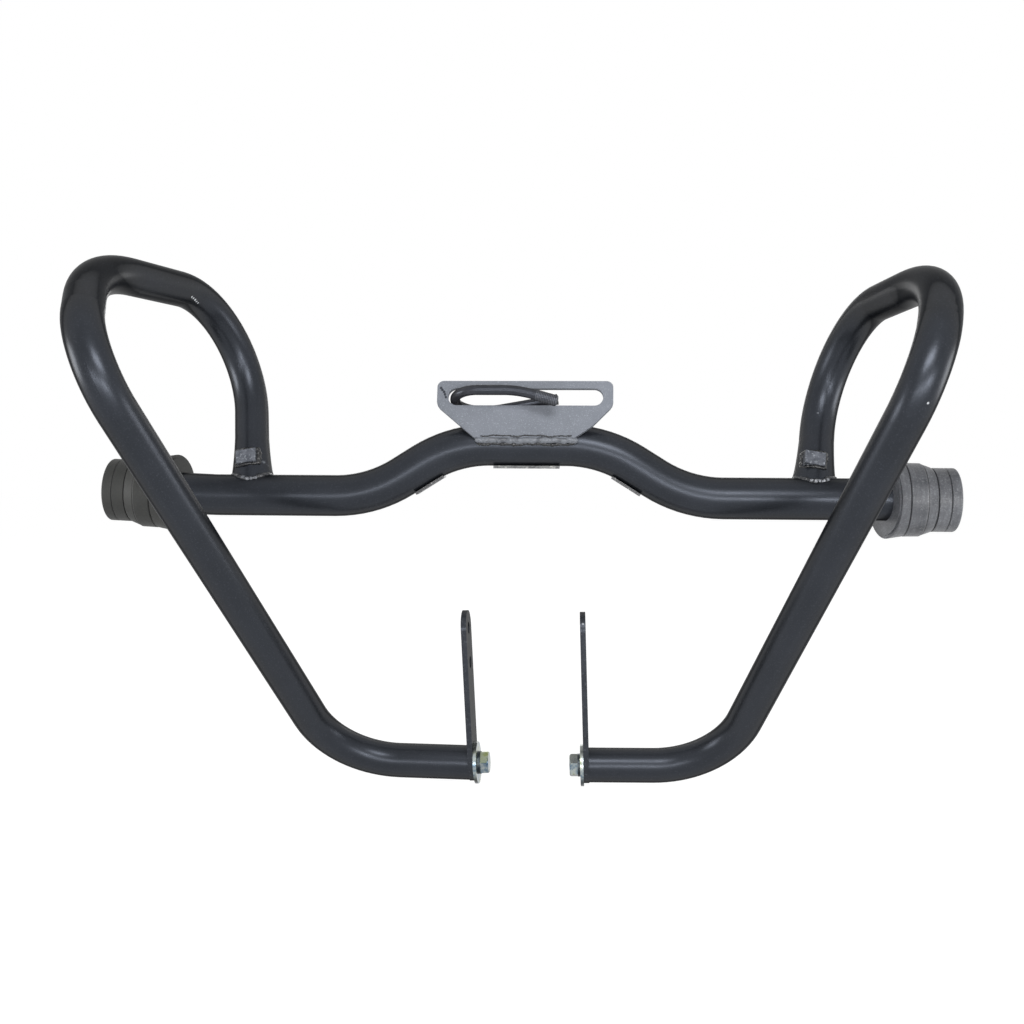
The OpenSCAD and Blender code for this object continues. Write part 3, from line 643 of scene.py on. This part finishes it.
def addThread(shape):
    deselectAll()
    bpy.ops.mesh.primitive_circle_add(vertices=3, radius=mm(shape["halfRidge"]), rotation=(math.pi / 2, 0, 0))
    ridge = bpy.context.object
    bpy.ops.object.transform_apply(rotation=True)
    # the corner that points outwards is the crest
    corners = ridge.data.vertices
    crest, root = mm(shape["radius"] + shape["crest"]), mm(shape["radius"] - shape["root"])
    high = mm(shape["halfRidge"])
    for corner, (out, up) in zip(corners, ((crest, 0), (root, high), (root, -high))):
        corner.co = (out, 0, up)
    applyModifier(ridge, "SCREW", {"axis": "Z", "angle": 2 * math.pi, "screw_offset": mm(shape["pitch"]),
                                   "iterations": shape["turns"], "steps": 24, "render_steps": 24})
    bpy.ops.object.mode_set(mode="EDIT")
    bpy.ops.mesh.select_all(action="SELECT")
    bpy.ops.mesh.remove_doubles(threshold=1e-6)
    bpy.ops.mesh.fill_holes(sides=4)
    bpy.ops.mesh.normals_make_consistent(inside=False)
    bpy.ops.object.mode_set(mode="OBJECT")
    length = shape["pitch"] * (shape["turns"] + 0.5)
    ridge.location = (0, 0, -mm(length))
    bpy.ops.object.transform_apply(location=True)
    deselectAll()
    bpy.ops.mesh.primitive_uv_sphere_add(segments=32, ring_count=16, radius=mm(shape["radius"] - shape["dome"][0]))
    dome = bpy.context.object
    bpy.ops.object.mode_set(mode="EDIT")
    bpy.ops.mesh.select_all(action="SELECT")
    bpy.ops.transform.resize(value=(1, 1, shape["dome"][1]), center_override=(0, 0, 0))
    bpy.ops.object.mode_set(mode="OBJECT")
    bpy.ops.object.shade_smooth()
    thread = joinPieces([ridge, dome], "u_bolt_thread")
    way = Vector(shape["way"]).normalized()
    turn = way.to_track_quat("Z", "Y").to_matrix().to_4x4()
    thread.matrix_world = Matrix.Translation(mm(*shape["end"])) @ turn
    bpy.ops.object.transform_apply(location=True, rotation=True, scale=True)
    ridePiece(thread, threadSteel, "u_bolt_steel")


addThread(threadShape)
print("thread modelled")


# Camera at the photograph's place, fitted in the frame of the cross tube's middle

photoView = {
    "place": tubeMiddle + mm(46.603, -1052.27, 59.874),
    "right": Vector((0.99830113, 0.05812471, 0.00404532)),
    "up": Vector((-0.00808881, 0.06949985, 0.99754917)),
    "lens": 40.43,  # mm
    "sensor": 36,
}


def addCamera(view):
    data = bpy.data.cameras.new("camera")
    data.lens = view["lens"]
    data.sensor_width = view["sensor"]
    camera = bpy.data.objects.new("camera", data)
    bpy.context.scene.collection.objects.link(camera)
    back = view["right"].cross(view["up"])
    turn = Matrix((view["right"], view["up"], back)).transposed()
    camera.matrix_world = Matrix.Translation(view["place"]) @ turn.to_4x4()
    bpy.context.scene.camera = camera


addCamera(photoView)


# Floor, world and lamps

stageLook = {
    "floorSize": 9.0,
    "floor": "#f0f0f0",
    "world": 0.16,  # what the world gives to the object's matt sides
    "drop": 0.0005,  # metres below the lowest bolt head, so that nothing touches it
    "seen": 0.95,  # how much of the floor's white is there without the lamps
    "shadow": 0.3,  # how much the object's shadow shows on it
}


def seenDirectly(tree):
    path = addNode(tree, "ShaderNodeLightPath")
    first = addNode(tree, "ShaderNodeMath", {"operation": "MAXIMUM"},
                    {0: path.outputs["Is Camera Ray"], 1: path.outputs["Is Glossy Ray"]})
    return addNode(tree, "ShaderNodeMath", {"operation": "MAXIMUM"},
                   {0: first.outputs["Value"], 1: path.outputs["Is Transmission Ray"]}).outputs["Value"]


def addFloor(look):
    deselectAll()
    bpy.ops.mesh.primitive_plane_add(size=look["floorSize"], location=(0, 0, cadBox[0].z - look["drop"]))
    floor = bpy.context.object
    floor.name = "floor"
    material = bpy.data.materials.new("palePaper")
    material.use_nodes = True
    tree = material.node_tree
    tree.nodes.clear()
    paper = addNode(tree, "ShaderNodeBsdfDiffuse", {"Color": hexColour(look["floor"])})
    shadow = addNode(tree, "ShaderNodeBsdfDiffuse", {"Color": [look["shadow"]] * 3 + [1.0]})
    white = addNode(tree, "ShaderNodeEmission", {"Color": (1, 1, 1, 1), "Strength": look["seen"]})
    lit = addNode(tree, "ShaderNodeAddShader", links={0: shadow.outputs["BSDF"], 1: white.outputs["Emission"]})
    choice = addNode(tree, "ShaderNodeMixShader",
                     links={0: seenDirectly(tree), 1: paper.outputs["BSDF"], 2: lit.outputs["Shader"]})
    addNode(tree, "ShaderNodeOutputMaterial", links={"Surface": choice.outputs["Shader"]})
    floor.data.materials.append(material)


def setWorld(look):
    world = bpy.data.worlds.new("studio")
    bpy.context.scene.world = world
    world.use_nodes = True
    tree = world.node_tree
    tree.nodes.clear()
    strength = addNode(tree, "ShaderNodeMapRange", {"To Min": look["world"], "To Max": 1.0},
                       {"Value": seenDirectly(tree)})
    glow = addNode(tree, "ShaderNodeBackground", {"Color": (1, 1, 1, 1)}, {"Strength": strength.outputs["Result"]})
    addNode(tree, "ShaderNodeOutputWorld", links={"Surface": glow.outputs["Background"]})


# places and sizes in metres; the wide strip behind the camera draws the long bands of light on the tubes
lamps = {
    "front": {"place": (0.25, -1.75, -0.08), "aim": (0, 0, -0.08), "size": (2.1, 0.2), "power": 15},
    "near": {"place": (0.16, -0.8, 0.42), "aim": (0.0, 0, 0.02), "size": (0.42, 0.22), "power": 4.2},
    "right": {"place": (0.62, -1.7, -0.02), "aim": (0.2, 0, 0), "size": (0.3, 0.22), "power": 3},
    "leftSide": {"place": (-1.5, -0.35, -0.05), "aim": (0.28, -0.18, -0.05), "size": (0.6, 0.5), "power": 8},
    "rightSide": {"place": (1.5, -0.05, -0.1), "aim": (-0.27, -0.2, -0.05), "size": (0.6, 0.5), "power": 6},
    "back": {"place": (0.0, 1.8, 0.35), "aim": (0, 0, 0), "size": (1.6, 0.4), "power": 6},
}


def addLamp(name, look):
    data = bpy.data.lights.new(name, "AREA")
    data.energy = look["power"]
    data.shape = "RECTANGLE"
    data.size, data.size_y = look["size"]
    lamp = bpy.data.objects.new(name, data)
    bpy.context.scene.collection.objects.link(lamp)
    lamp.location = look["place"]
    lamp.rotation_euler = (Vector(look["aim"]) - lamp.location).to_track_quat("-Z", "Y").to_euler()


addFloor(stageLook)
setWorld(stageLook)
for lampName, lampLook in lamps.items():
    addLamp(lampName, lampLook)
bpy.context.scene.view_settings.view_transform = "Standard"
print("stage set")
